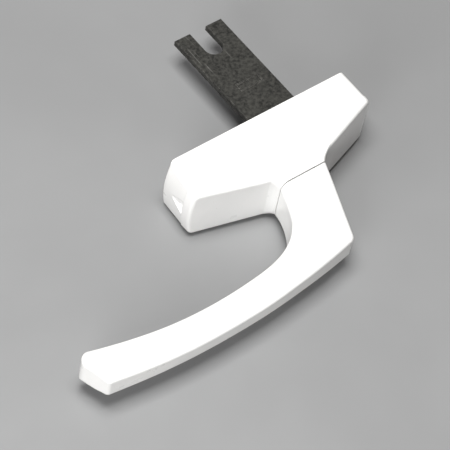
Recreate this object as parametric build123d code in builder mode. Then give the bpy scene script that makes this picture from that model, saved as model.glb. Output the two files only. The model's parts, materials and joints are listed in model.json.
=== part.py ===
from build123d import *
import math
import os

# Tilt turn window handle with a driving fork.
# Frame, mm: origin on the turning axis of the lever, in the face that lies on
# the sash. +Z up along the body, +Y into the sash, X across the body. The
# lever stands on the room side (-Y) and hangs down (closed) at rest.
# "depth" always means distance from the sash face towards the room (-Y).
# Names ending in _r are radii, in _z are places along Z.

# ---------------------------------------------------------------- body shell
base_half = 13.95            # half width at the sash
side_lean = 0.09             # half width lost per mm of depth
z_low, z_high = -45.6, 46.4  # ends of the body at the sash, at mid width
bow_low, bow_high = 2.0, 0.9 # how far each end bows out over the width
# each end: z, bow, outward lean per mm of depth, outward direction, plan corner radius
shell_ends = ((z_low, bow_low, 0.075, -1, 2.8),
              (z_high, bow_high, 0.045, 1, 2.4))
lip_low, lip_high = -46.95, 47.35     # ends of the raised bead round the front
lip_depth = 13.9             # depth where the bead starts
lip_corner_r = 2.6
lip_bevel = 0.22             # sloping back of the bead
lip_bevel_start = 0.5        # the bevel cut starts this far behind the bead
sash_edge_r = 1.0            # soft edge of each end at the sash
edge_r = 1.6                 # soft front edges
# sloping front, (z, depth): low end, neck foot, neck foot, high end
front_line = [(-52.0, 17.53), (-10.0, 28.92), (15.0, 27.64), (52.0, 15.05)]
seam_depth = 31.35           # front face of the neck
seam_gap = 0.5
lever_seam = seam_depth + seam_gap
# neck sections: depth, low end, high end, corner radius low and high
neck_shape = [(26.0, -17.7, 18.8, 1.4, 1.1), (27.2, -15.2, 16.5, 1.8, 1.2),
              (28.4, -13.3, 14.6, 2.5, 1.3), (29.8, -12.0, 12.8, 3.2, 1.4),
              (seam_depth, -11.5, 11.5, 3.8, 1.5)]
neck_inset = 0.01            # neck sides lie this far inside the body sides

cavity_half_w = 9.0
cavity_half_len = 41.0
cavity_corner_r = 2.0
slide_room_depth = 15.0      # depth of the slide chamber
gear_room_depth = 18.0       # depth of the room round the shaft
gear_room_half_len = 14.5
room_overlap = 0.5           # overlap of neighbouring chambers
end_room_inner_depth = 24.8  # depth of the end chambers next to the gear room
# end chambers: direction along z, depth at the far end
end_rooms = ((1, 16.2), (-1, 17.8))

# scooped pry notches: z of the cone axis, direction into the body
pry_notches = ((z_high + 1.4, -1), (z_low - 1.6, 1))
notch_r = 4.0
notch_start = 3.3            # depth of the point of the cone
notch_end = lip_depth + 0.3

# ---------------------------------------------------------------- back plate
plate_t = 2.0
plate_inset = 1.5            # rim of the body left round the recess
plate_play = 0.05
plate_bow_low, plate_bow_high = 1.9, 1.4
plate_corner_r = 2.0
plate_screw_z = 40.7
plate_screw_spots = ((0, plate_screw_z), (0, -plate_screw_z))
post_r, post_len = 2.4, 13.4 # screw posts in the body
pilot_r, pilot_len = 1.52, 9.0
nut_spots = ((0, 34.6), (0, -34.6))

# ---------------------------------------------------------------- mechanism
pinion_teeth = 12
tooth_module = 1.0
pitch_r = pinion_teeth * tooth_module / 2
tooth_pitch = math.pi * tooth_module
pressure = math.radians(20)
backlash = 0.16
half_tooth = (tooth_pitch / 2 - backlash / 2) / 2   # half thickness on the pitch line
pinion_tip_r = pitch_r + 0.95
pinion_root_r = pitch_r - 1.05
rack_tip = 0.70
rack_root = 1.15
pinion_d0, pinion_d1 = 7.9, 13.2
stroke = math.pi * pitch_r   # slide travel over half a turn of the lever

slide_d0, slide_d1 = 2.3, 7.15
slide_half_w = 7.85
slide_z0, slide_z1 = -4.0, 29.2
slide_corner_r = 1.0
rail_back = 8.85             # distance of the rail's back from the axis
rail_trim = 1.0              # rail shorter than the slide by this much

peg_spots = ((-4.5, -18), (-4.5, 22))   # guide strip pegs, (y, z)
peg_r, peg_hole_r = 0.8, 0.83

# ---------------------------------------------------------------- fork blade
fork_w = 24.5
fork_t = 3.0
fork_reach = 57.3            # tip distance beyond the sash face
fork_offset = 15.5           # fork centre above the axis with the lever closed
fork_slot_w = 8.5
fork_slot_len = 15.0
fork_tip_corner_r = 1.2
fork_chamfer = 0.3
fork_root = 6.2              # depth of its root inside the slide
frame_at = (22.9, 16.4)      # plain raised frame, centre (depth into the sash, z)
frame_len, frame_w = 11.6, 4.2
frame_line = 0.55
frame_h = 0.25
rivet_r = 1.5
rivet_hole_r = rivet_r + 0.02
rivet_spots = ((-4.4, 9.0), (-4.4, 22.0))   # (y, z)

# ---------------------------------------------------------------- shaft, bush
shaft_r = 6.0
shaft_start = pinion_d1 + 0.1    # depth where the round shaft starts
bush_bore_r = 6.04
bush_r = 8.0
bush_seat_r = 8.03
flange_r = 9.3
flange_seat_r = 9.36
flange_d0, flange_d1 = 29.15, 30.15
socket = 8.0                 # side of the square on the shaft
socket_end = 42.3
seat_d0 = 10.0               # two-flat seat of the pinion
seat_r = 3.2
seat_flat = 2.6

ring_d0, ring_d1 = 15.0, 16.0   # retaining ring
ring_groove_r = 5.4
seal_groove_d0, seal_groove_d1 = 26.5, 28.1
seal_groove_r = 4.75
grub_depth = 37.3
grub_r = 2.0
grub_x = socket / 2 + 0.03   # inner end of the set screw

over = 20.0                  # oversize length of cuts that run out of a piece

# ---------------------------------------------------------------- lever
# room-facing outline of the crank and grip, (z, depth)
grip_outer = [(0.55, 65.2), (-17.5, 68.45), (-32.3, 70.35), (-46.8, 71.75),
              (-61.0, 72.35), (-74.6, 72.45), (-88.4, 71.95), (-101.4, 70.85),
              (-114.0, 69.2), (-122.6, 67.9)]
# window-facing outline of the grip, (z, depth)
grip_inner = [(-128.2, 51.0), (-113.4, 54.75), (-100.6, 57.3), (-87.9, 59.1),
              (-74.5, 60.0), (-60.8, 60.0), (-46.7, 59.1), (-36.2, 57.7),
              (-28.0, 55.2), (-22.5, 52.0), (-19.4, 49.1), (-16.8, 45.4),
              (-14.85, 41.5), (-13.4, 38.0), (-11.6, 31.85)]
lever_top_z = 11.2           # high end of the lever at the seam
# half width of the lever against depth: (depth, half width)
half_width = [(31.3, 11.12), (36.0, 10.5), (43.0, 9.3), (53.0, 7.4),
              (63.0, 5.5), (74.0, 3.2)]
# soft corner at the end of the grip, widest on the window side: (depth, radius)
tip_corner = [(48.0, 7.4), (51.0, 5.9), (54.0, 4.0), (57.0, 2.6), (60.0, 1.8), (63.5, 1.1)]
# soft corner of the inner wall, from the seam: (depth, radius)
seam_corner = [(31.4, 3.8), (34.5, 3.9), (38.0, 3.9), (41.6, 3.5), (45.0, 2.7), (48.4, 1.1)]
corner_skin = 0.02           # corner cutters stand this far off the surface
lever_edge_r = 1.3
# side view roundings: where the edge centre lies, radius
side_view_rounds = (
    (lambda p: p.Y < -60 and p.Z > -6, 3.3),      # elbow
    (lambda p: p.Y > -60 and p.Z < -110, 3.4),    # tip, window side
    (lambda p: p.Y < -66 and p.Z < -115, 2.0))    # tip, room side


# =============================================================== helpers
def at_depth(depth):
    """Plane parallel to the sash at a depth: local x = X, local y = Z."""
    return Plane.XZ.offset(depth)


def yz(points):
    """(z, depth) pairs to local coordinates of the side view plane."""
    return [(-depth, z) for z, depth in points]


def xy(points):
    """(radius, depth) pairs to local coordinates of an XY plane."""
    return [(radius, -depth) for radius, depth in points]


def half_at(depth):
    """Half width of the body at a depth."""
    return base_half - side_lean * depth


def leaning_sides(depth):
    """Corners, seen along Z, of a wedge between the body sides down to a depth."""
    return [(base_half, 0), (half_at(depth), -depth), (-half_at(depth), -depth), (-base_half, 0)]


def y_axis_at(z):
    """Axis along Y at mid width."""
    return Axis((0, 0, z), (0, 1, 0))


def bow_axis(end, bow, out):
    """Axis of the arc that bows an end of the body outwards."""
    bow_r = (base_half ** 2 + bow ** 2) / (2 * bow)
    return y_axis_at(end - out * bow_r)


def bowed_outline(half, low, high, low_bow, high_bow):
    """Draw straight sides and bowed ends in the current BuildLine."""
    Line((half, low + low_bow), (half, high - high_bow))
    ThreePointArc((half, high - high_bow), (0, high), (-half, high - high_bow))
    Line((-half, high - high_bow), (-half, low + low_bow))
    ThreePointArc((-half, low + low_bow), (0, low), (half, low + low_bow))


def plate_outline(inset):
    """Draw the plan of the back plate or its recess in the current BuildLine."""
    bowed_outline(base_half - inset, z_low + inset, z_high - inset,
                  plate_bow_low, plate_bow_high)


def crossing(curve, reached, start=0.0):
    """Point of a curve, from parameter start on, where reached(point) turns true."""
    low, high = start, 1.0
    for _ in range(40):
        middle = (low + high) / 2
        if reached(curve @ middle):
            high = middle
        else:
            low = middle
    return curve @ high


def wall_z(depth):
    """z of the inner wall of the lever near the seam."""
    return crossing(Spline(*yz(grip_inner)), lambda p: -p.X < depth, 0.8).Y


def wall_x(depth):
    """Half width of the lever at a depth."""
    side = Spline(*[(x, -level) for level, x in half_width])
    return crossing(side, lambda p: -p.Y > depth).X


def tip_z(depth):
    """z of the straight end of the grip."""
    (z_in, depth_in), (z_out, depth_out) = grip_inner[0], grip_outer[-1]
    return z_in + (z_out - z_in) * (depth - depth_in) / (depth_out - depth_in)


def washer(outer_r, inner_r, start, thickness):
    """Flat ring round the turning axis, from depth start towards the room."""
    with BuildPart() as body:
        with BuildSketch(at_depth(start)):
            Circle(outer_r)
            Circle(inner_r, mode=Mode.SUBTRACT)
        extrude(amount=thickness)
    return body.part


# =============================================================== body shell
stock_half_len = 60          # the sides are drawn longer than the body
stock_reach = 70             # reach of the wedge that trims the sides


def shell_foot():
    """Lower part of the shell: leaning sides, bowed ends."""
    with BuildPart() as body:
        with BuildSketch(at_depth(0)):
            with BuildLine():
                Polyline((base_half, -stock_half_len), (base_half, stock_half_len),
                         (-base_half, stock_half_len), (-base_half, -stock_half_len),
                         close=True)
            make_face()
        extrude(amount=lip_depth)
        with BuildSketch(Plane.XY):
            with BuildLine():
                Polyline(*leaning_sides(40), close=True)
            make_face()
        extrude(amount=stock_reach, both=True, mode=Mode.INTERSECT)
        # bowed ends, leaning out towards the room
        margin = 5
        for end, bow, lean, out, _ in shell_ends:
            with BuildSketch(Plane.YZ):
                with BuildLine():
                    Polyline(*yz([(end - out * lean * margin, -margin),
                                  (end + out * lean * (lip_depth + margin), lip_depth + margin),
                                  (end + out * 30, lip_depth + margin),
                                  (end + out * 30, -margin)]), close=True)
                make_face()
            revolve(axis=bow_axis(end, bow, out), mode=Mode.SUBTRACT)
        for _, _, _, out, corner_r in shell_ends:
            corners = body.edges().filter_by(
                lambda e: abs(e.center().X) > 9 and abs(e.center().Y + lip_depth / 2) < 1)
            fillet(corners.filter_by(lambda e: out * e.center().Z > 40), radius=corner_r)
        # soft edge of each end at the sash
        r = sash_edge_r
        arc_mid = r * (1 - math.sqrt(0.5))
        for end, bow, lean, out, _ in shell_ends:
            side_z = end + out * lean * r
            with BuildSketch(Plane.YZ):
                with BuildLine():
                    ThreePointArc((0, side_z - out * r),
                                  (-arc_mid, side_z - out * arc_mid),
                                  (-r, side_z))
                    Polyline((-r, side_z), (-r, side_z + out * 2), (1, side_z + out * 2),
                             (1, side_z - out * r), (0, side_z - out * r))
                make_face()
            revolve(axis=bow_axis(end, bow, out), mode=Mode.SUBTRACT)
    return body.part


def shell_front():
    """Upper part of the shell: starts with the raised bead, then the sloping front."""
    with BuildPart() as body:
        with BuildSketch(at_depth(lip_depth)):
            with BuildLine():
                bowed_outline(base_half, lip_low, lip_high, bow_low, bow_high)
            make_face()
        extrude(amount=30)
        with BuildSketch(Plane.XY):
            with BuildLine():
                Polyline(*leaning_sides(60), close=True)
            make_face()
        extrude(amount=stock_reach, both=True, mode=Mode.INTERSECT)
        with BuildSketch(Plane.YZ):
            with BuildLine():
                Polyline(*yz([(front_line[0][0], 0)] + front_line
                             + [(front_line[-1][0], 0)]), close=True)
            make_face()
        extrude(amount=base_half + 1, both=True, mode=Mode.INTERSECT)
        upright = body.edges().filter_by(
            lambda e: abs(e.center().Z) > 40 and abs(e.center().X) > 9
            and abs((e @ 0).Y - (e @ 1).Y) > 0.8)
        fillet(upright, radius=lip_corner_r)
        # soft rim round the whole sloping front: edges that only one front face has
        rim = {}
        for face in body.faces():
            if face.normal_at().Y < -0.5 and face.area > 60:
                for edge in face.edges():
                    rim.setdefault(tuple(round(v, 3) for v in edge.center()), []).append(edge)
        fillet([found[0] for found in rim.values() if len(found) == 1], radius=edge_r)
        # sloping back of the bead, following the bow of each end
        bevel_depth = lip_depth - lip_bevel_start
        for end, bow, out in ((lip_low, bow_low, -1), (lip_high, bow_high, 1)):
            with BuildSketch(Plane.YZ):
                with BuildLine():
                    Polyline(*yz([(end - out * (lip_bevel + lip_bevel_start), bevel_depth),
                                  (end + out, bevel_depth),
                                  (end + out, lip_depth + lip_bevel + 1)]), close=True)
                make_face()
            revolve(axis=bow_axis(end, bow, out), mode=Mode.SUBTRACT)
    return body.part


def housing():
    foot, front = shell_foot(), shell_front()
    with BuildPart() as body:
        add(foot)
        add(front)
        # neck flowing out of the sloping front
        for depth, low, high, low_r, high_r in neck_shape:
            with BuildSketch(at_depth(depth)) as section:
                with Locations((0, (low + high) / 2)):
                    Rectangle(2 * (half_at(depth) - neck_inset), high - low)
                fillet(section.vertices().group_by(Axis.Y)[0], radius=low_r)
                fillet(section.vertices().group_by(Axis.Y)[-1], radius=high_r)
        loft()
        # mechanism chamber, open to the sash
        with BuildSketch(at_depth(0)):
            RectangleRounded(2 * cavity_half_w, 2 * cavity_half_len, cavity_corner_r)
        extrude(amount=slide_room_depth, mode=Mode.SUBTRACT)
        room_start = slide_room_depth - room_overlap
        with BuildSketch(at_depth(room_start)):
            Rectangle(2 * cavity_half_w, 2 * gear_room_half_len)
        extrude(amount=gear_room_depth - room_start, mode=Mode.SUBTRACT)
        # the two end chambers follow the sloping front
        end_room_far = cavity_half_len - 1
        with BuildSketch(Plane.YZ):
            for side, far_depth in end_rooms:
                with BuildLine():
                    Polyline(*yz([(side * gear_room_half_len, room_start),
                                  (side * gear_room_half_len, end_room_inner_depth),
                                  (side * end_room_far, far_depth),
                                  (side * end_room_far, room_start)]), close=True)
                make_face()
        extrude(amount=cavity_half_w, both=True, mode=Mode.SUBTRACT)
        # posts for the back plate screws, joined to the end walls
        with BuildSketch(at_depth(plate_t)):
            with Locations(*plate_screw_spots):
                Circle(post_r)
        extrude(amount=post_len)
        with BuildSketch(at_depth(plate_t)):
            with Locations(*plate_screw_spots):
                Circle(pilot_r)
        extrude(amount=pilot_len, mode=Mode.SUBTRACT)
        # recess for the back plate
        with BuildSketch(at_depth(0)) as recess:
            with BuildLine():
                plate_outline(plate_inset)
            make_face()
            fillet(recess.vertices(), radius=plate_corner_r)
        extrude(amount=plate_t, mode=Mode.SUBTRACT)
        # seat for the bush and its flange
        with BuildSketch(at_depth(gear_room_depth - 1)):
            Circle(bush_seat_r)
        extrude(amount=over, mode=Mode.SUBTRACT)
        with BuildSketch(at_depth(flange_d0)):
            Circle(flange_seat_r)
        extrude(amount=5, mode=Mode.SUBTRACT)
        # blind holes for the guide strip pegs
        with BuildSketch(Plane.YZ):
            with Locations(*peg_spots):
                Circle(peg_hole_r)
        extrude(amount=cavity_half_w + 1, both=True, mode=Mode.SUBTRACT)
        # scooped pry notch in each end, just behind the bead
        for axis_z, inward in pry_notches:
            with BuildSketch(Plane.YZ):
                with BuildLine():
                    Polyline(*yz([(axis_z, notch_start),
                                  (axis_z + inward * notch_r, notch_end),
                                  (axis_z, notch_end)]), close=True)
                make_face()
            revolve(axis=y_axis_at(axis_z), mode=Mode.SUBTRACT)
    return body.part


# =============================================================== lever
def lever():
    with BuildPart() as body:
        with BuildSketch(Plane.YZ):
            with BuildLine():
                Line((-lever_seam, grip_inner[-1][0]), (-lever_seam, lever_top_z))
                Line((-lever_seam, lever_top_z), yz(grip_outer)[0])
                Spline(*yz(grip_outer))
                Line(yz(grip_outer)[-1], yz(grip_inner)[0])
                Spline(*yz(grip_inner))
            make_face()
        extrude(amount=base_half, both=True)
        for is_there, round_r in side_view_rounds:
            across = body.edges().filter_by(Axis.X)
            fillet(across.filter_by(lambda e: is_there(e.center())), radius=round_r)
        # both sides lean in towards the room
        seam_level, seam_half = half_width[0]
        room_level, room_half = half_width[-1]
        with BuildSketch(Plane.XY.offset(-130)):
            with BuildLine():
                Spline(*[(x, -depth) for depth, x in half_width])
                Line((room_half, -room_level), (-room_half, -room_level))
                Spline(*[(-x, -depth) for depth, x in reversed(half_width)])
                Line((-seam_half, -seam_level), (seam_half, -seam_level))
            make_face()
        extrude(amount=160, mode=Mode.INTERSECT)
        # soft long edges all round the two leaning sides
        for sign in (1, -1):
            lean = body.faces().filter_by(lambda f: sign * f.normal_at().X > 0.6)
            loop = [e for f in lean for e in f.outer_wire().edges()
                    if e.center().Y < -lever_seam - 0.2]
            fillet(loop, radius=lever_edge_r)
        # wide soft corners down the end of the grip, then at the seam and out
        # along the inner wall: stations, wall position, how far the cutter runs out
        for stations, z_at, run_out in ((tip_corner, tip_z, 3), (seam_corner, wall_z, 2)):
            for side in (1, -1):
                for depth, r in stations:
                    x = wall_x(depth) + corner_skin
                    z = z_at(depth) - corner_skin
                    arc_mid = r - r * math.sqrt(0.5)
                    with BuildSketch(at_depth(depth)):
                        with BuildLine():
                            ThreePointArc((side * x, z + r),
                                          (side * (x - arc_mid), z + arc_mid),
                                          (side * (x - r), z))
                            Polyline((side * (x - r), z), (side * (x - r), z - run_out),
                                     (side * (x + 2), z - run_out), (side * (x + 2), z + r),
                                     (side * x, z + r))
                        make_face()
                loft(mode=Mode.SUBTRACT)
        # square socket for the shaft
        with BuildSketch(at_depth(lever_seam - 1)):
            Rectangle(socket + 0.1, socket + 0.1)
        extrude(amount=socket_end + 0.3 - lever_seam + 1, mode=Mode.SUBTRACT)
        # set screw hole, out through the +X side
        with BuildSketch(Plane.YZ.offset(2)):
            with Locations((-grub_depth, 0)):
                Circle(grub_r + 0.02)
        extrude(amount=12, mode=Mode.SUBTRACT)
    return body.part


def lever_grub_screw():
    """Set screw with a hexagon socket, beside the square of the shaft."""
    length = 5.2
    with BuildPart() as body:
        with BuildSketch(Plane.YZ.offset(grub_x)):
            with Locations((-grub_depth, 0)):
                Circle(grub_r)
        extrude(amount=length)
        with BuildSketch(Plane.YZ.offset(grub_x + length)):
            with Locations((-grub_depth, 0)):
                RegularPolygon(radius=1.25, side_count=6, major_radius=False)
        extrude(amount=-2.4, mode=Mode.SUBTRACT)
        chamfer(body.faces().sort_by(Axis.X)[0].edges(), length=0.5)
    return body.part


# =============================================================== shaft
def spindle():
    square_start = lever_seam - 0.05
    with BuildPart() as body:
        with BuildSketch(at_depth(shaft_start)):
            Circle(shaft_r)
        extrude(amount=square_start - shaft_start)
        with BuildSketch(at_depth(square_start)):
            Rectangle(socket, socket)
        extrude(amount=socket_end - square_start)
        # two-flat seat for the pinion
        with BuildSketch(at_depth(seat_d0)):
            Circle(seat_r)
            Rectangle(2 * seat_flat, over, mode=Mode.INTERSECT)
        extrude(amount=shaft_start - seat_d0)
        # grooves for the retaining ring and the sealing ring
        for start, end, groove_r in ((ring_d0 - 0.05, ring_d1 + 0.05, ring_groove_r),
                                     (seal_groove_d0, seal_groove_d1, seal_groove_r)):
            with BuildSketch(at_depth(start)):
                Circle(shaft_r + 1)
                Circle(groove_r, mode=Mode.SUBTRACT)
            extrude(amount=end - start, mode=Mode.SUBTRACT)
        # tapped hole for the pinion screw
        with BuildSketch(at_depth(seat_d0)):
            Circle(1.25)
        extrude(amount=7.5, mode=Mode.SUBTRACT)
        chamfer(body.faces().sort_by(Axis.Y)[0].edges(), length=0.5)
    return body.part


def shaft_seal():
    ring_centre_r, cord_r = 5.38, 0.6
    with BuildPart() as body:
        with BuildSketch(Plane.XY):
            with Locations((ring_centre_r, -(seal_groove_d0 + seal_groove_d1) / 2)):
                Circle(cord_r)
        revolve(axis=Axis.Y)
    return body.part


# =============================================================== neck bearing
def neck_bush():
    with BuildPart() as body:
        with BuildSketch(at_depth(gear_room_depth)):
            Circle(bush_r)
        extrude(amount=flange_d1 - gear_room_depth)
        with BuildSketch(at_depth(flange_d0)):
            Circle(flange_r)
        extrude(amount=flange_d1 - flange_d0)
        with BuildSketch(at_depth(gear_room_depth)):
            Circle(bush_bore_r)
        extrude(amount=over, mode=Mode.SUBTRACT)
        chamfer(body.faces().sort_by(Axis.Y)[-1].edges(), length=0.3)
    return body.part


def seam_ring():
    """Black sliding ring that shows as a dark line in the seam."""
    start = flange_d1 + 0.03
    return washer(flange_r, 6.2, start, lever_seam - 0.06 - start)


def retaining_ring():
    lug_x, lug_z, lug_r = 2.6, 6.1, 1.6
    hole_x, hole_z, hole_r = 2.75, 6.4, 0.65
    outer_r, gap_w = 7.5, 2.4
    with BuildPart() as body:
        with BuildSketch(at_depth(ring_d0)):
            Circle(outer_r)
            with Locations((-lug_x, lug_z), (lug_x, lug_z)):
                Circle(lug_r)
            Circle(ring_groove_r + 0.05, mode=Mode.SUBTRACT)
            with Locations((0, outer_r)):
                Rectangle(gap_w, 7.5, mode=Mode.SUBTRACT)
            with Locations((-hole_x, hole_z), (hole_x, hole_z)):
                Circle(hole_r, mode=Mode.SUBTRACT)
        extrude(amount=ring_d1 - ring_d0)
    return body.part


def thrust_washer():
    return washer(8.5, 6.1, ring_d1 + 0.05, 0.9)


def disc_spring():
    """Dished spring washer that takes up the end play of the shaft."""
    # (radius, depth)
    profile = [(6.15, 17.05), (8.4, 17.45), (8.4, 17.95), (8.25, 17.95), (6.15, 17.55)]
    with BuildPart() as body:
        with BuildSketch(Plane.XY):
            with BuildLine():
                Polyline(*xy(profile), close=True)
            make_face()
        revolve(axis=Axis.Y)
    return body.part


# =============================================================== pinion
def pinion_profile():
    """Outline of the involute teeth."""
    base_r = pitch_r * math.cos(pressure)
    pitch_involute = math.tan(pressure) - pressure
    # flank from root to tip: radius, half angle of the tooth
    flank = []
    for k in range(5):
        r = base_r + (pinion_tip_r - base_r) * k / 4
        angle = math.acos(min(1.0, base_r / r))
        flank.append((r, half_tooth / pitch_r + pitch_involute - (math.tan(angle) - angle)))
    flank = [(pinion_root_r, flank[0][1])] + flank
    points = []
    for tooth in range(pinion_teeth):
        mid = 2 * math.pi * tooth / pinion_teeth
        points += [(r * math.cos(mid - h), r * math.sin(mid - h)) for r, h in flank]
        points += [(r * math.cos(mid + h), r * math.sin(mid + h)) for r, h in reversed(flank)]
    return points


def pinion():
    # countersink, (radius, depth)
    sink = [(0, pinion_d0 - 1), (3.0, pinion_d0 - 1), (3.0, pinion_d0),
            (1.55, pinion_d0 + 1.45), (0, pinion_d0 + 1.45)]
    with BuildPart() as body:
        with BuildSketch(at_depth(pinion_d0)):
            with BuildLine():
                Polyline(*pinion_profile(), close=True)
            make_face()
        extrude(amount=pinion_d1 - pinion_d0)
        # two-flat pocket for the shaft
        with BuildSketch(at_depth(seat_d0 - 0.05)):
            Circle(seat_r + 0.03)
            Rectangle(2 * (seat_flat + 0.03), over, mode=Mode.INTERSECT)
        extrude(amount=10, mode=Mode.SUBTRACT)
        # screw hole
        with BuildSketch(at_depth(pinion_d0)):
            Circle(1.6)
        extrude(amount=4, mode=Mode.SUBTRACT)
        with BuildSketch(Plane.XY):
            with BuildLine():
                Polyline(*xy(sink), close=True)
            make_face()
        revolve(axis=Axis.Y, mode=Mode.SUBTRACT)
    return body.part


def pinion_screw():
    # (radius, depth)
    profile = [(0, pinion_d0 + 0.05), (2.85, pinion_d0 + 0.05), (2.85, pinion_d0 + 0.15),
               (1.5, pinion_d0 + 1.5), (1.2, pinion_d0 + 1.8), (1.2, 16.6),
               (0.8, 17.0), (0, 17.0)]
    with BuildPart() as body:
        with BuildSketch(Plane.XY):
            with BuildLine():
                Polyline(*xy(profile), close=True)
            make_face()
        revolve(axis=Axis.Y)
        # hexagon socket
        with BuildSketch(at_depth(pinion_d0)):
            RegularPolygon(radius=1.0, side_count=6, major_radius=False)
        extrude(amount=1.1, mode=Mode.SUBTRACT)
    return body.part


# =============================================================== rack slide
def rack_tooth(z):
    """Outline of one rack tooth, its foot sunk 0.3 into the rail."""
    tip = half_tooth - rack_tip * math.tan(pressure)
    root = half_tooth + rack_root * math.tan(pressure)
    x_tip, x_root = -pitch_r + rack_tip, -pitch_r - rack_root
    x_foot = x_root - 0.3
    return [(x_foot, z - root), (x_root, z - root), (x_tip, z - tip),
            (x_tip, z + tip), (x_root, z + root), (x_foot, z + root)]


def rack_slide():
    slide_mid, slide_len = (slide_z0 + slide_z1) / 2, slide_z1 - slide_z0
    rail_front = pitch_r + rack_root
    rail_start = slide_d1 - 0.01
    with BuildPart() as body:
        with BuildSketch(at_depth(slide_d0)):
            with Locations((0, slide_mid)):
                RectangleRounded(2 * slide_half_w, slide_len, slide_corner_r)
        extrude(amount=slide_d1 - slide_d0)
        # toothed rail along the -X side
        with BuildSketch(at_depth(rail_start)):
            with Locations((-(rail_back + rail_front) / 2, slide_mid)):
                Rectangle(rail_back - rail_front, slide_len - rail_trim)
            for k in range(-1, 8):
                with BuildLine():
                    Polyline(*rack_tooth((k + 0.5) * tooth_pitch), close=True)
                make_face()
        extrude(amount=pinion_d1 - rail_start)
        # slot for the root of the blade
        with BuildSketch(at_depth(slide_d0)):
            with Locations((0, fork_offset)):
                Rectangle(fork_t + 0.06, fork_w + 0.06)
        extrude(amount=fork_root + 0.05 - slide_d0, mode=Mode.SUBTRACT)
        # cross holes for the rivets
        with BuildSketch(Plane.YZ):
            with Locations(*rivet_spots):
                Circle(rivet_hole_r)
        extrude(amount=12, both=True, mode=Mode.SUBTRACT)
    return body.part


# =============================================================== fork blade
def fork():
    low, high = fork_offset - fork_w / 2, fork_offset + fork_w / 2
    slot_r = fork_slot_w / 2
    slot_bottom = fork_reach - fork_slot_len
    slot_low, slot_high = fork_offset - slot_r, fork_offset + slot_r
    with BuildPart() as body:
        with BuildSketch(Plane.YZ.offset(-fork_t / 2)) as blade:
            with BuildLine():
                Polyline((slot_bottom + slot_r, slot_low), (fork_reach, slot_low),
                         (fork_reach, low), (-fork_root, low), (-fork_root, high),
                         (fork_reach, high), (fork_reach, slot_high),
                         (slot_bottom + slot_r, slot_high))
                ThreePointArc((slot_bottom + slot_r, slot_high), (slot_bottom, fork_offset),
                              (slot_bottom + slot_r, slot_low))
            make_face()
            # only corners found at fork_reach along Axis.Y are rounded
            fillet(blade.vertices().filter_by_position(
                Axis.Y, fork_reach - 0.01, fork_reach + 0.01), radius=fork_tip_corner_r)
        extrude(amount=fork_t)
        rims = body.edges().filter_by(lambda e: abs(abs(e.center().X) - fork_t / 2) < 0.01
                                      and e.center().Y > -fork_root + 0.1)
        chamfer(rims, length=fork_chamfer)
        with BuildSketch(Plane.YZ.offset(-fork_t)):
            with Locations(*rivet_spots):
                Circle(rivet_hole_r)
        extrude(amount=2 * fork_t, mode=Mode.SUBTRACT)
        # plain raised frame on the -X side of the blade
        with BuildSketch(Plane.YZ.offset(-fork_t / 2 - frame_h)):
            with Locations(frame_at):
                Rectangle(frame_w, frame_len)
                Rectangle(frame_w - 2 * frame_line, frame_len - 2 * frame_line,
                          mode=Mode.SUBTRACT)
        extrude(amount=frame_h + 0.2)
    return body.part


def fork_rivets():
    half_len = slide_half_w - 0.1
    with BuildPart() as body:
        with BuildSketch(Plane.YZ.offset(-half_len)):
            with Locations(*rivet_spots):
                Circle(rivet_r)
        extrude(amount=2 * half_len)
    return body.part


# =============================================================== guides and buffers
inlay_start = plate_t + 0.05     # strips and buffers start just above the back plate


def slide_guides():
    """Strip along each side wall of the chamber, held by two pegs."""
    strip_w, strip_len, strip_h = 0.98, 53.0, 4.9
    strip_x, strip_mid_z = cavity_half_w - 0.54, 2.2
    with BuildPart() as body:
        for side in (1, -1):
            with BuildSketch(at_depth(inlay_start)):
                with Locations((side * strip_x, strip_mid_z)):
                    Rectangle(strip_w, strip_len)
            extrude(amount=strip_h)
            with BuildSketch(Plane.YZ.offset(side * (cavity_half_w - 0.3))):
                with Locations(*peg_spots):
                    Circle(peg_r)
            extrude(amount=side * 1.1)
    return body.part


def stop_buffers():
    """Rubber buffers that the slide meets at the two ends of its travel."""
    width, thickness, height = 9.0, 1.3, 4.4
    reach = 0.2 + thickness / 2      # gap to the slide, then half the buffer
    with BuildPart() as body:
        with BuildSketch(at_depth(inlay_start)):
            with Locations((0, slide_z1 + reach), (0, slide_z0 - stroke - reach)):
                Rectangle(width, thickness)
        extrude(amount=height)
    return body.part


# =============================================================== back plate
def back_plate():
    # countersink, (radius, depth)
    sink = [(0, -0.5), (2.6, -0.5), (2.6, 0.15), (1.4, 1.35), (0, 1.35)]
    with BuildPart() as body:
        with BuildSketch(at_depth(0)) as plan:
            with BuildLine():
                plate_outline(plate_inset + plate_play)
            make_face()
            fillet(plan.vertices(), radius=plate_corner_r)
            # slot for the travel of the blade
            with Locations((0, fork_offset - stroke / 2)):
                Rectangle(fork_t + 0.6, fork_w + stroke + 1.2, mode=Mode.SUBTRACT)
            with Locations(*nut_spots):
                Circle(3.22, mode=Mode.SUBTRACT)
            with Locations(*plate_screw_spots):
                Circle(1.7, mode=Mode.SUBTRACT)
        extrude(amount=plate_t - 0.02)
        for _, z in plate_screw_spots:
            with BuildSketch(Plane.XY.offset(z)):
                with BuildLine():
                    Polyline(*xy(sink), close=True)
                make_face()
            revolve(axis=y_axis_at(z), mode=Mode.SUBTRACT)
    return body.part


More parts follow.
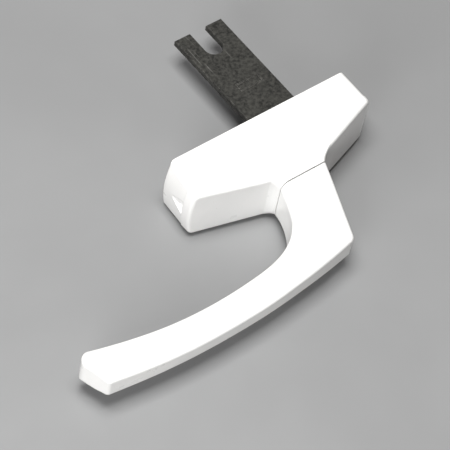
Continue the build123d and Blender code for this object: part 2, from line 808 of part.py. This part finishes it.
def back_plate_screws():
    """Countersunk screws with a cross recess."""
    # (radius, depth)
    profile = [(0, 0.08), (2.45, 0.08), (2.45, 0.2), (1.45, 1.2),
               (1.45, 9.0), (1.0, 9.5), (0, 9.5)]
    cross_len, cross_w = 2.4, 0.55
    with BuildPart() as body:
        for _, z in plate_screw_spots:
            with BuildSketch(Plane.XY.offset(z)):
                with BuildLine():
                    Polyline(*xy(profile), close=True)
                make_face()
            revolve(axis=y_axis_at(z))
            with BuildSketch(at_depth(0)):
                with Locations((0, z)):
                    Rectangle(cross_len, cross_w)
                    Rectangle(cross_w, cross_len)
            extrude(amount=1.1, mode=Mode.SUBTRACT)
    return body.part


def mounting_nuts():
    body_r, collar_r, length = 3.6, 3.2, 10.0
    thread_r = 2.1               # M5 thread core
    with BuildPart() as body:
        with BuildSketch(at_depth(plate_t)):
            with Locations(*nut_spots):
                Circle(body_r)
        extrude(amount=length - plate_t)
        # collar in the back plate
        with BuildSketch(at_depth(0.05)):
            with Locations(*nut_spots):
                Circle(collar_r)
        extrude(amount=plate_t)
        with BuildSketch(at_depth(0)):
            with Locations(*nut_spots):
                Circle(thread_r)
        extrude(amount=length + 1, mode=Mode.SUBTRACT)
    return body.part


# =============================================================== export
# each function is named after the piece it builds
os.makedirs("parts", exist_ok=True)
for build in (housing, lever, lever_grub_screw, spindle, shaft_seal, neck_bush,
              seam_ring, retaining_ring, thrust_washer, disc_spring, pinion,
              pinion_screw, rack_slide, fork, fork_rivets, slide_guides,
              stop_buffers, back_plate, back_plate_screws, mounting_nuts):
    piece = build()
    piece.label = build.__name__
    export_step(piece, "parts/" + piece.label + ".step")
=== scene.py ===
"""The assembly lies on its +X side: the floor is a plane across X just beyond it,
and the camera looks from the -X, -Y, -Z corner. Lengths are in metres.
"""
import json

import bpy
from mathutils import Matrix, Vector


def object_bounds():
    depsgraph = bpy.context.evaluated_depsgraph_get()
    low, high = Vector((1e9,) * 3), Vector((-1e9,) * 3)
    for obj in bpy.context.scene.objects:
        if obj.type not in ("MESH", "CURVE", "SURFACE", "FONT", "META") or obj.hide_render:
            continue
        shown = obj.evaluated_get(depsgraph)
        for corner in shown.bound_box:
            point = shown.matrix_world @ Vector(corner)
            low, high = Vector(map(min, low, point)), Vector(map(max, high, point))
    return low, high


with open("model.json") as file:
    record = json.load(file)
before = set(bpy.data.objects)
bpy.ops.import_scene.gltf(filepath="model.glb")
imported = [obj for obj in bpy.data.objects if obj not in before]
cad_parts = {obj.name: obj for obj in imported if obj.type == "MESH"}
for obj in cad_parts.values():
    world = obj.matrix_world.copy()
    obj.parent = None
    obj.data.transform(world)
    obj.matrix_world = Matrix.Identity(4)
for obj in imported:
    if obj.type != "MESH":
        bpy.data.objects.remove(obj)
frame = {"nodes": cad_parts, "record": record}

cad_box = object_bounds()
scene = bpy.context.scene

BACKDROP = (0.47, 0.475, 0.48)

# ------------------------------------------------------------------ shader trees


class Tree:
    """Builds one material. A ramp (a, b) turns values from a to b into 0 to 1, smoothly."""

    def __init__(self, name):
        self.mat = bpy.data.materials.new(name)
        self.mat.use_nodes = True
        self.nt = self.mat.node_tree
        self.nt.nodes.clear()
        self.out = self.node("ShaderNodeOutputMaterial")
        self.bsdf = self.node("ShaderNodeBsdfPrincipled")
        self.link(self.bsdf.outputs[0], self.out.inputs[0])
        self.coord = self.node("ShaderNodeTexCoord").outputs["Object"]

    def node(self, kind, **props):
        node = self.nt.nodes.new(kind)
        for key, value in props.items():
            setattr(node, key, value)
        return node

    def link(self, source, socket):
        self.nt.links.new(source, socket)

    def put(self, socket, value):
        """Link a socket, or set a number or an RGB tuple."""
        if isinstance(value, bpy.types.NodeSocket):
            self.link(value, socket)
        else:
            socket.default_value = (*value, 1.0) if isinstance(value, tuple) else value

    def noise(self, scale, detail=3, rough=0.6, stretch=None, distort=0.0, w=None,
              ramp=None, to=(0.0, 1.0)):
        """Noise; stretch scales the axes, w picks another 4D slice, ramp remaps the result."""
        vector = self.coord
        if stretch:
            mapping = self.node("ShaderNodeMapping")
            mapping.inputs["Scale"].default_value = stretch
            self.link(self.coord, mapping.inputs["Vector"])
            vector = mapping.outputs[0]
        node = self.node("ShaderNodeTexNoise")
        if w is not None:
            node.noise_dimensions = "4D"
            node.inputs["W"].default_value = w
        node.inputs["Scale"].default_value = scale
        node.inputs["Detail"].default_value = detail
        node.inputs["Roughness"].default_value = rough
        node.inputs["Distortion"].default_value = distort
        self.link(vector, node.inputs["Vector"])
        value = node.outputs["Fac"]
        return self.remap(value, ramp=ramp, to=to) if ramp else value

    def voronoi(self, scale, feature="F1", out="Distance"):
        node = self.node("ShaderNodeTexVoronoi", feature=feature)
        node.inputs["Scale"].default_value = scale
        self.link(self.coord, node.inputs["Vector"])
        return node.outputs[out]

    def remap(self, value, ramp, to=(0.0, 1.0)):
        node = self.node("ShaderNodeMapRange", interpolation_type="SMOOTHSTEP")
        self.link(value, node.inputs["Value"])
        node.inputs["From Min"].default_value, node.inputs["From Max"].default_value = ramp
        node.inputs["To Min"].default_value, node.inputs["To Max"].default_value = to
        return node.outputs["Result"]

    def math(self, operation, first, second):
        node = self.node("ShaderNodeMath", operation=operation)
        self.put(node.inputs[0], first)
        self.put(node.inputs[1], second)
        return node.outputs[0]

    def add(self, first, second):
        return self.math("ADD", first, second)

    def subtract(self, first, second):
        return self.math("SUBTRACT", first, second)

    def multiply(self, first, second):
        return self.math("MULTIPLY", first, second)

    def mix(self, mask, low, high):
        node = self.node("ShaderNodeMix", data_type="RGBA")
        self.link(mask, node.inputs["Factor"])
        self.put(node.inputs[6], low)
        self.put(node.inputs[7], high)
        return node.outputs[2]

    def tint(self, color, mask, tone, amount):
        """Lay a tone over the color where the mask is 1, at the given strength."""
        return self.mix(self.multiply(mask, amount), color, tone)

    def bevel(self, radius, samples=6):
        node = self.node("ShaderNodeBevel", samples=samples)
        node.inputs["Radius"].default_value = radius
        return node.outputs[0]

    def edge(self, radius, full=0.25):
        """1 on edges and corners, 0 on flats: how far the rounded normal leaves the true one."""
        true_normal = self.node("ShaderNodeNewGeometry").outputs["Normal"]
        dot = self.node("ShaderNodeVectorMath", operation="DOT_PRODUCT")
        self.link(true_normal, dot.inputs[0])
        self.link(self.bevel(radius, samples=4), dot.inputs[1])
        return self.remap(self.subtract(1.0, dot.outputs["Value"]), ramp=(0.01, full))

    def bump(self, height, distance, strength, normal=None):
        node = self.node("ShaderNodeBump")
        node.inputs["Strength"].default_value = strength
        node.inputs["Distance"].default_value = distance
        self.link(height, node.inputs["Height"])
        if normal is not None:
            self.link(normal, node.inputs["Normal"])
        return node.outputs[0]

    def finish(self, color, rough, normal, metallic=0.0, coat=0.0, coat_rough=0.1,
               spec=0.5, subsurface=0.0):
        sockets = self.bsdf.inputs
        self.link(color, sockets["Base Color"])
        self.link(rough, sockets["Roughness"])
        self.link(normal, sockets["Normal"])
        self.put(sockets["Metallic"], metallic)
        self.put(sockets["Specular IOR Level"], spec)
        self.put(sockets["Coat Weight"], coat)
        self.put(sockets["Coat Roughness"], coat_rough)
        if subsurface:
            sockets["Subsurface Weight"].default_value = subsurface
            sockets["Subsurface Radius"].default_value = (0.001, 0.001, 0.001)
        return self.mat


# ------------------------------------------------------------------ materials


def powder_coat():
    """Satin white powder coat: fine orange peel, faint cloudiness, specks of dust, rubbed edges."""
    t = Tree("white_powder_coat")
    cloud = t.noise(scale=35, rough=0.55, ramp=(0.35, 0.68))
    color = t.mix(cloud, (0.835, 0.835, 0.825), (0.885, 0.882, 0.868))
    smudge = t.multiply(t.noise(scale=48, detail=2, rough=0.45, ramp=(0.50, 0.80)),
                        t.noise(scale=17, detail=2, rough=0.5, w=6.0, ramp=(0.40, 0.70)))
    color = t.tint(color, smudge, (0.70, 0.685, 0.65), amount=0.15)
    specks = t.remap(t.voronoi(scale=900), ramp=(0.10, 0.05))
    few = t.noise(scale=260, detail=2, rough=0.5, w=3.0, ramp=(0.66, 0.72))
    color = t.tint(color, t.multiply(specks, few), (0.36, 0.34, 0.31), amount=0.55)
    edge = t.edge(radius=0.0007, full=0.22)
    rub = t.multiply(edge, t.noise(scale=420, detail=4, rough=0.65, ramp=(0.52, 0.70)))
    color = t.tint(color, rub, (0.72, 0.71, 0.69), amount=0.08)
    rough = t.noise(scale=180, detail=4, ramp=(0.3, 0.7), to=(0.27, 0.40))
    rough = t.subtract(rough, t.multiply(rub, 0.06))
    soft = t.bevel(radius=0.00045, samples=8)
    peel = t.add(t.multiply(t.voronoi(scale=1500, feature="SMOOTH_F1"), 0.6),
                 t.noise(scale=1900, detail=2, rough=0.5))
    normal = t.bump(peel, distance=0.000012, strength=0.55, normal=soft)
    waves = t.noise(scale=120, detail=2, rough=0.5)
    normal = t.bump(waves, distance=0.00006, strength=0.35, normal=normal)
    return t.finish(color, rough, normal, coat=0.35, coat_rough=0.16)


def forged_steel():
    """Dark phosphated steel: mottled grain, pits, scratches, brighter rubbed edges."""
    t = Tree("dark_phosphated_steel")
    grain = t.noise(scale=640, detail=6, rough=0.66)
    patch = t.noise(scale=150, detail=4)
    color = t.mix(t.remap(grain, ramp=(0.36, 0.64)), (0.022, 0.022, 0.020), (0.070, 0.069, 0.062))
    color = t.tint(color, t.remap(patch, ramp=(0.42, 0.70)), (0.088, 0.087, 0.077), amount=0.35)
    pits = t.remap(t.voronoi(scale=1300), ramp=(0.26, 0.10))
    pits = t.multiply(pits, t.noise(scale=300, w=1.7, ramp=(0.48, 0.62)))
    color = t.tint(color, pits, (0.020, 0.019, 0.017), amount=0.65)
    scratch = t.noise(scale=260, rough=0.55, stretch=(1.0, 0.10, 2.4), distort=0.5,
                      ramp=(0.66, 0.72))
    color = t.tint(color, scratch, (0.27, 0.265, 0.25), amount=0.45)
    edge = t.edge(radius=0.00035, full=0.20)
    worn = t.multiply(edge, t.noise(scale=700, detail=4, ramp=(0.35, 0.60)))
    color = t.tint(color, worn, (0.34, 0.33, 0.31), amount=0.75)
    rough = t.noise(scale=500, detail=4, w=0.4, ramp=(0.3, 0.7), to=(0.42, 0.66))
    rough = t.subtract(rough, t.multiply(worn, 0.14))
    height = t.subtract(grain, t.multiply(pits, 0.8))
    height = t.subtract(height, t.multiply(scratch, 0.15))
    normal = t.bump(height, distance=0.00012, strength=0.65, normal=t.bevel(radius=0.00018))
    return t.finish(color, rough, normal, metallic=0.55, spec=0.45)


def turned_steel(name, tone, rough_mid, stretch, grease=0.0):
    """Machined steel: fine tool lines set by stretch, stains, brighter edges, maybe grease."""
    t = Tree(name)
    lines = t.noise(scale=900, stretch=stretch)
    dark = tuple(c * 0.62 for c in tone)
    bright = tuple(min(1, c * 1.35) for c in tone)
    color = t.mix(t.remap(lines, ramp=(0.32, 0.68)), dark, tone)
    stain = t.noise(scale=240, detail=4, distort=0.5, w=2.0, ramp=(0.50, 0.72))
    color = t.tint(color, stain, (0.20, 0.185, 0.16), amount=0.3)
    color = t.tint(color, t.edge(radius=0.0002), bright, amount=0.45)
    if grease:
        film = t.noise(scale=160, rough=0.55, w=5.0, ramp=(0.42, 0.62))
        color = t.tint(color, film, (0.16, 0.12, 0.06), amount=grease)
    rough = t.noise(scale=600, ramp=(0.3, 0.7), to=(rough_mid - 0.08, rough_mid + 0.10))
    normal = t.bump(lines, distance=0.00003, strength=0.5, normal=t.bevel(radius=0.00012))
    return t.finish(color, rough, normal, metallic=0.95)


def zinc_sheet():
    """Zinc plated sheet: spangle, passivation tints, rolled grain, brighter sheared edges."""
    t = Tree("zinc_plated_sheet")
    spangle = t.voronoi(scale=420, out="Color")
    channels = t.node("ShaderNodeSeparateColor")
    t.link(spangle, channels.inputs[0])
    color = t.mix(t.remap(channels.outputs[0], ramp=(0.0, 1.0)),
                  (0.50, 0.52, 0.53), (0.68, 0.70, 0.70))
    passivation = t.noise(scale=70, rough=0.5, distort=0.7, ramp=(0.42, 0.62))
    color = t.tint(color, passivation, (0.60, 0.60, 0.47), amount=0.35)
    rolled = t.noise(scale=1000, stretch=(1, 1, 0.04))
    color = t.tint(color, t.remap(rolled, ramp=(0.55, 0.75)), (0.36, 0.37, 0.37), amount=0.35)
    dull = t.noise(scale=200, detail=4, w=4.0, ramp=(0.55, 0.72))
    color = t.tint(color, dull, (0.72, 0.73, 0.72), amount=0.35)
    color = t.tint(color, t.edge(radius=0.00025), (0.80, 0.81, 0.82), amount=0.5)
    rough = t.add(t.remap(channels.outputs[1], ramp=(0.0, 1.0), to=(0.26, 0.40)),
                  t.multiply(dull, 0.14))
    normal = t.bump(rolled, distance=0.00003, strength=0.45, normal=t.bevel(radius=0.00015))
    return t.finish(color, rough, normal, metallic=0.92)


def cast_zinc():
    """Raw die casting: matt skin with flow marks and fine grit."""
    t = Tree("raw_die_cast_zinc")
    flow = t.noise(scale=160, detail=4, distort=1.4, ramp=(0.35, 0.66))
    color = t.mix(flow, (0.36, 0.37, 0.375), (0.56, 0.57, 0.575))
    grit = t.noise(scale=1600, rough=0.7)
    color = t.tint(color, t.remap(grit, ramp=(0.52, 0.70)), (0.24, 0.24, 0.24), amount=0.4)
    color = t.tint(color, t.edge(radius=0.00025), (0.72, 0.73, 0.74), amount=0.5)
    rough = t.remap(grit, ramp=(0.3, 0.7), to=(0.40, 0.58))
    normal = t.bump(grit, distance=0.00005, strength=0.5, normal=t.bevel(radius=0.0002))
    return t.finish(color, rough, normal, metallic=0.85)


def bearing_brass():
    """Turned brass: tool lines, tarnish, brighter edges."""
    t = Tree("bearing_brass")
    lines = t.noise(scale=1200, stretch=(1, 14, 1))
    color = t.mix(t.remap(lines, ramp=(0.3, 0.7)), (0.46, 0.31, 0.12), (0.72, 0.53, 0.24))
    tarnish = t.noise(scale=260, detail=4, rough=0.65, distort=0.4, ramp=(0.48, 0.68))
    color = t.tint(color, tarnish, (0.30, 0.20, 0.09), amount=0.5)
    color = t.tint(color, t.edge(radius=0.00025), (0.86, 0.68, 0.36), amount=0.4)
    rough = t.remap(tarnish, ramp=(0.0, 1.0), to=(0.24, 0.46))
    normal = t.bump(lines, distance=0.00003, strength=0.5, normal=t.bevel(radius=0.0002))
    return t.finish(color, rough, normal, metallic=1.0)


def moulded(name, low, high, rough_range, edge_tone, grain=1800, depth=0.00003, subsurface=0.0):
    """Moulded plastic or rubber: spark-eroded grain, slight cloudiness, scuffed edges."""
    t = Tree(name)
    color = t.mix(t.noise(scale=130, rough=0.55, ramp=(0.35, 0.65)), low, high)
    grit = t.noise(scale=grain, rough=0.65)
    grit = t.add(grit, t.multiply(t.voronoi(scale=grain * 0.7), 0.35))
    color = t.tint(color, t.remap(grit, ramp=(0.62, 0.85)), edge_tone, amount=0.25)
    scuff = t.multiply(t.edge(radius=0.0003), t.noise(scale=600, ramp=(0.40, 0.65)))
    color = t.tint(color, scuff, edge_tone, amount=0.5)
    rough = t.noise(scale=400, w=1.0, ramp=(0.3, 0.7), to=rough_range)
    normal = t.bump(grit, distance=depth, strength=0.55, normal=t.bevel(radius=0.0002))
    return t.finish(color, rough, normal, spec=0.45, subsurface=subsurface)


look = {
    "white_coat": powder_coat(),
    "fork_steel": forged_steel(),
    "bright_steel": turned_steel("turned_bright_steel", tone=(0.62, 0.62, 0.60),
                                 rough_mid=0.30, stretch=(1, 14, 1)),
    "zinc_plate": zinc_sheet(),
    "gear_steel": turned_steel("oiled_gear_steel", tone=(0.40, 0.40, 0.395),
                               rough_mid=0.36, stretch=(1, 0.05, 1), grease=0.45),
    "diecast_zinc": cast_zinc(),
    "bush_metal": bearing_brass(),
    "black_plastic": moulded("black_nylon", low=(0.018, 0.018, 0.019),
                             high=(0.035, 0.035, 0.036), rough_range=(0.42, 0.58),
                             edge_tone=(0.12, 0.12, 0.12)),
    "pale_plastic": moulded("natural_acetal", low=(0.66, 0.65, 0.60),
                            high=(0.78, 0.77, 0.72), rough_range=(0.30, 0.44),
                            edge_tone=(0.84, 0.83, 0.80), subsurface=0.15),
    "black_rubber": moulded("black_rubber", low=(0.014, 0.014, 0.014),
                            high=(0.030, 0.029, 0.028), rough_range=(0.62, 0.85),
                            edge_tone=(0.085, 0.083, 0.08), grain=1400, depth=0.00005),
}

slot_of = {part["node"]: part["material_slot"] for part in frame["record"]["subparts"]}
for name, obj in frame["nodes"].items():
    material = look[slot_of[name]]
    if not obj.material_slots:
        obj.data.materials.append(material)
    for slot in obj.material_slots:
        slot.material = material

# ------------------------------------------------------------------ floor
FLOOR_GAP = 0.0002
FLOOR_HALF = 1.6
low_corner, high_corner = cad_box
floor_x = high_corner.x + FLOOR_GAP
mid_y = (low_corner.y + high_corner.y) / 2
mid_z = (low_corner.z + high_corner.z) / 2


def floor_material():
    """Pale floor, clear from behind, that fades out with distance and at a glancing view."""
    t = Tree("floor_pale")
    color = t.mix(t.noise(scale=14, rough=0.5, ramp=(0.3, 0.7)),
                  tuple(c * 0.575 for c in BACKDROP), tuple(c * 0.605 for c in BACKDROP))
    rough = t.noise(scale=60, rough=0.5, ramp=(0.3, 0.7), to=(0.34, 0.40))
    normal = t.bump(t.noise(scale=900), distance=0.00003, strength=0.3)
    t.finish(color, rough, normal, spec=0.32)
    geometry = t.node("ShaderNodeNewGeometry").outputs
    facing = t.node("ShaderNodeVectorMath", operation="DOT_PRODUCT")
    t.link(geometry["Incoming"], facing.inputs[0])
    t.link(geometry["True Normal"], facing.inputs[1])
    alpha = t.remap(facing.outputs["Value"], ramp=(0.10, 0.42))
    alpha = t.multiply(alpha, t.subtract(1.0, geometry["Backfacing"]))
    away = t.node("ShaderNodeVectorMath", operation="DISTANCE")
    t.link(t.coord, away.inputs[0])
    away.inputs[1].default_value = (floor_x, mid_y, mid_z)
    alpha = t.multiply(alpha, t.remap(away.outputs["Value"], ramp=(1.2, 0.25)))
    clear = t.node("ShaderNodeBsdfTransparent")
    blend = t.node("ShaderNodeMixShader")
    t.link(alpha, blend.inputs[0])
    t.link(clear.outputs[0], blend.inputs[1])
    t.link(t.bsdf.outputs[0], blend.inputs[2])
    t.link(blend.outputs[0], t.out.inputs[0])
    return t.mat


# corners run so that the face looks along -X, to the assembly
corner_signs = [(-1, -1), (-1, 1), (1, 1), (1, -1)]
mesh = bpy.data.meshes.new("floor")
mesh.from_pydata([(floor_x, mid_y + y * FLOOR_HALF, mid_z + z * FLOOR_HALF)
                  for y, z in corner_signs], [], [(0, 1, 2, 3)])
floor = bpy.data.objects.new("floor", mesh)
scene.collection.objects.link(floor)
mesh.materials.append(floor_material())

# ------------------------------------------------------------------ world
# even pale backdrop to the camera, dimmer soft fill to everything else
world = bpy.data.worlds.new("studio")
scene.world = world
world.use_nodes = True
world_tree = world.node_tree
world_tree.nodes.clear()
world_out = world_tree.nodes.new("ShaderNodeOutputWorld")
light_path = world_tree.nodes.new("ShaderNodeLightPath")


def background(color, strength):
    node = world_tree.nodes.new("ShaderNodeBackground")
    node.inputs[0].default_value = (*color, 1)
    node.inputs[1].default_value = strength
    return node.outputs[0]


seen = background(color=BACKDROP, strength=1.0)
fill = background(color=(0.84, 0.79, 0.765), strength=0.15)
pick = world_tree.nodes.new("ShaderNodeMixShader")
world_tree.links.new(light_path.outputs["Is Camera Ray"], pick.inputs[0])
world_tree.links.new(fill, pick.inputs[1])
world_tree.links.new(seen, pick.inputs[2])
world_tree.links.new(pick.outputs[0], world_out.inputs[0])

# ------------------------------------------------------------------ lights
LIGHT_TARGET = Vector((0.0, -0.035, -0.035))


def area(name, direction, distance, size, power, color):
    """Square light placed along a direction from the target and turned to face it."""
    data = bpy.data.lights.new(name, "AREA")
    data.shape = "SQUARE"
    data.size = size
    data.energy = power
    data.color = color
    light = bpy.data.objects.new(name, data)
    light.location = LIGHT_TARGET + Vector(direction).normalized() * distance
    light.rotation_mode = "QUATERNION"
    light.rotation_quaternion = (LIGHT_TARGET - light.location).to_track_quat("-Z", "Y")
    scene.collection.objects.link(light)


# name, direction from the target, distance, side, watts, color
for light_row in (
    ("key", (-1.0, 0.0, -0.15), 1.0, 0.5, 12.5, (1.0, 0.995, 0.985)),
    ("front", (-0.35, -0.44, -0.88), 1.1, 0.55, 9.6, (1.0, 1.0, 1.0)),
    ("rear", (-0.25, 0.9, 0.9), 1.1, 0.8, 1.6, (0.97, 0.985, 1.0)),
    ("under", (0.9, -0.35, 0.25), 1.1, 0.9, 1.8, (1.0, 0.99, 0.98)),
):
    area(*light_row)

# ------------------------------------------------------------------ camera
CAMERA_PLACE = (-0.83712, -0.47197, -0.51943)
CAMERA_AXES = (
    (-0.13143352, -0.60648909, 0.78415318),   # right
    (-0.60178180, 0.67740536, 0.42306104),    # up
    (-0.78777147, -0.41628471, -0.45400787),  # back, from the assembly to the camera
)

cam_data = bpy.data.cameras.new("camera")
cam_data.sensor_fit = "HORIZONTAL"
cam_data.sensor_width = 36.0  # mm
cam_data.lens = 213.9476      # mm
cam_data.clip_start = 0.01
cam_data.clip_end = 20.0
cam = bpy.data.objects.new("camera", cam_data)
cam_matrix = Matrix(CAMERA_AXES).transposed().to_4x4()
cam_matrix.translation = CAMERA_PLACE
cam.matrix_world = cam_matrix
scene.collection.objects.link(cam)
scene.camera = cam
scene.view_settings.view_transform = "Standard"
